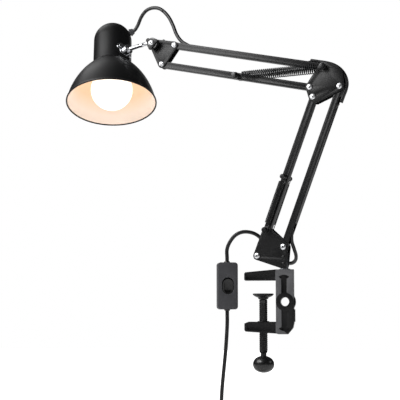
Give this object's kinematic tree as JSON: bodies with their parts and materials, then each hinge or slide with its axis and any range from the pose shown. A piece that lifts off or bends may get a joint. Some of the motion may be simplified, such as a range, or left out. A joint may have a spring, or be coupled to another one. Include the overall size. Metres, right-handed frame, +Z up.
{
  "type": "swing-arm desk lamp",
  "caption": "Black architect lamp on a desk clamp, with two spring-balanced parallel arms and a tilting bell shade.",
  "frame": {"origin": "where the upper jaw's underside sits on the desk, on the clamping screw's axis", "axes": "+Z up along the post and the screw; -X out of the clamp's mouth, over the desk; +Y away from the pictured side, along the side socket's axis"},
  "size_m": [0.4422, 0.1604, 0.7426],
  "materials": {
    "black_enamel": "satin",
    "black_casting": "satin",
    "bright_plating": "polished",
    "plain_steel": "satin",
    "spring_steel": "satin",
    "black_plastic": "satin",
    "cord_jacket": "satin",
    "white_holder": "satin",
    "opal_glass": "frosted",
    "brass_blades": "satin"
  },
  "bodies": {
    "clamp": {"clamp_body": "black_casting"},
    "pad": {"pressure_pad": "black_enamel"},
    "screw": {"clamp_screw": "black_enamel", "screw_knob": "black_plastic"},
    "base": {"post": "plain_steel", "base_plate_near": "black_enamel", "base_plate_far": "black_enamel", "base_screws": "bright_plating", "base_nuts": "plain_steel", "base_rivets": "black_enamel", "base_cord": "cord_jacket", "mains_cord_upper": "cord_jacket", "switch_base": "black_plastic", "switch_cover": "black_plastic", "switch_collars": "black_plastic", "mains_cord_lower": "cord_jacket", "mains_cord_coil": "cord_jacket", "coil_tie": "black_plastic", "plug": "black_plastic", "plug_blades": "brass_blades"},
    "rocker": {"switch_rocker": "black_plastic"},
    "front_bar": {"lower_front_bar": "black_enamel", "lower_arm_cord": "cord_jacket"},
    "rear_bar": {"lower_rear_bar": "black_enamel", "lower_spring_pin": "plain_steel", "lower_spring_near": "black_enamel", "lower_spring_far": "black_enamel"},
    "elbow": {"elbow_plate_near": "black_enamel", "elbow_plate_far": "black_enamel", "elbow_screws": "bright_plating", "elbow_nuts": "plain_steel", "elbow_spring_pin": "plain_steel", "elbow_sleeve_side": "cord_jacket", "elbow_sleeve_top": "cord_jacket"},
    "top_bar": {"forearm_top_bar": "black_enamel", "forearm_cord": "cord_jacket"},
    "bottom_bar": {"forearm_bottom_bar": "black_enamel", "forearm_spring_pin": "black_enamel", "forearm_spring_near": "spring_steel", "forearm_spring_far": "spring_steel"},
    "head": {"head_plate_near": "black_enamel", "head_plate_far": "black_enamel", "head_screws": "bright_plating", "head_nuts": "plain_steel", "tilt_screw": "bright_plating", "tilt_washer": "black_enamel", "head_cord_back": "cord_jacket"},
    "wing_nut": {"tilt_wing_nut": "bright_plating"},
    "link": {"tilt_knuckle": "black_enamel", "ball_rod": "bright_plating"},
    "shade": {"shade": "black_enamel", "shade_neck": "black_enamel", "bracket_cup": "bright_plating", "bracket_rivets": "bright_plating", "cord_grommet": "black_plastic", "lamp_holder": "white_holder", "holder_bracket": "plain_steel", "bulb_glass": "opal_glass", "bulb_cap": "bright_plating", "head_cord_front": "cord_jacket"}
  },
  "joints": [
    {"name": "pad_travel", "type": "slide", "parent": "clamp", "child": "pad", "axis": [0, 0, 1], "range_m": [-0.0315, 0.0185]},
    {"name": "screw_turn", "type": "hinge", "parent": "pad", "child": "screw", "pos_m": [0, 0, -0.03], "axis": [0, 0, 1], "range_deg": [-3782, 2222]},
    {"name": "post_swivel", "type": "hinge", "parent": "clamp", "child": "base", "pos_m": [0.032, 0, 0.016], "axis": [0, 0, 1], "range_deg": [-160, 160]},
    {"name": "switch_rocker", "type": "hinge", "parent": "base", "child": "rocker", "pos_m": [-0.05501, 0.02179, -0.007], "axis": [0.9636, 0.2672, 0], "range_deg": [-18, 0]},
    {"name": "lower_arm", "type": "hinge", "parent": "base", "child": "front_bar", "pos_m": [0.032, 0, 0.049], "axis": [-0.284, -0.9588, 0], "range_deg": [-30, 45], "deforming": ["base_cord"]},
    {"name": "rear_bar_pivot", "type": "hinge", "parent": "base", "child": "rear_bar", "pos_m": [-0.00731, 0.01165, 0.0367], "axis": [-0.284, -0.9588, 0], "range_deg": [-30, 45], "deforming": ["lower_spring_near", "lower_spring_far"]},
    {"name": "elbow_level", "type": "hinge", "parent": "front_bar", "child": "elbow", "pos_m": [0.11721, -0.02524, 0.28053], "axis": [-0.284, -0.9588, 0], "range_deg": [-45, 30], "deforming": ["elbow_sleeve_side"]},
    {"name": "forearm", "type": "hinge", "parent": "elbow", "child": "top_bar", "pos_m": [0.0944, -0.01848, 0.31143], "axis": [-0.284, -0.9588, 0], "range_deg": [-30, 45], "deforming": ["elbow_sleeve_top"]},
    {"name": "bottom_bar_pivot", "type": "hinge", "parent": "elbow", "child": "bottom_bar", "pos_m": [0.0734, -0.01226, 0.28313], "axis": [-0.284, -0.9588, 0], "range_deg": [-30, 45], "deforming": ["forearm_spring_near", "forearm_spring_far"]},
    {"name": "head_level", "type": "hinge", "parent": "top_bar", "child": "head", "pos_m": [-0.13888, 0.05062, 0.36894], "axis": [-0.284, -0.9588, 0], "range_deg": [-45, 30], "deforming": ["head_cord_back"]},
    {"name": "wing_nut_turn", "type": "hinge", "parent": "head", "child": "wing_nut", "pos_m": [-0.17167, 0.06033, 0.37324], "axis": [-0.284, -0.9588, 0], "range_deg": [-180, 180]},
    {"name": "head_tilt", "type": "hinge", "parent": "head", "child": "link", "pos_m": [-0.17167, 0.06033, 0.37324], "axis": [-0.284, -0.9588, 0], "range_deg": [-40, 25]},
    {"name": "shade_turn", "type": "hinge", "parent": "link", "child": "shade", "pos_m": [-0.21829, 0.0622, 0.36886], "axis": [0.9428, -0.2793, 0.1822], "range_deg": [-60, 60], "deforming": ["head_cord_front"]}
  ],
  "couplings": [
    {"joint": "screw_turn", "follows": "pad_travel", "rad_per_m": 2094.4},
    {"joint": "rear_bar_pivot", "follows": "lower_arm", "ratio": 1},
    {"joint": "elbow_level", "follows": "lower_arm", "ratio": -1},
    {"joint": "bottom_bar_pivot", "follows": "forearm", "ratio": 1},
    {"joint": "head_level", "follows": "forearm", "ratio": -1}
  ]
}
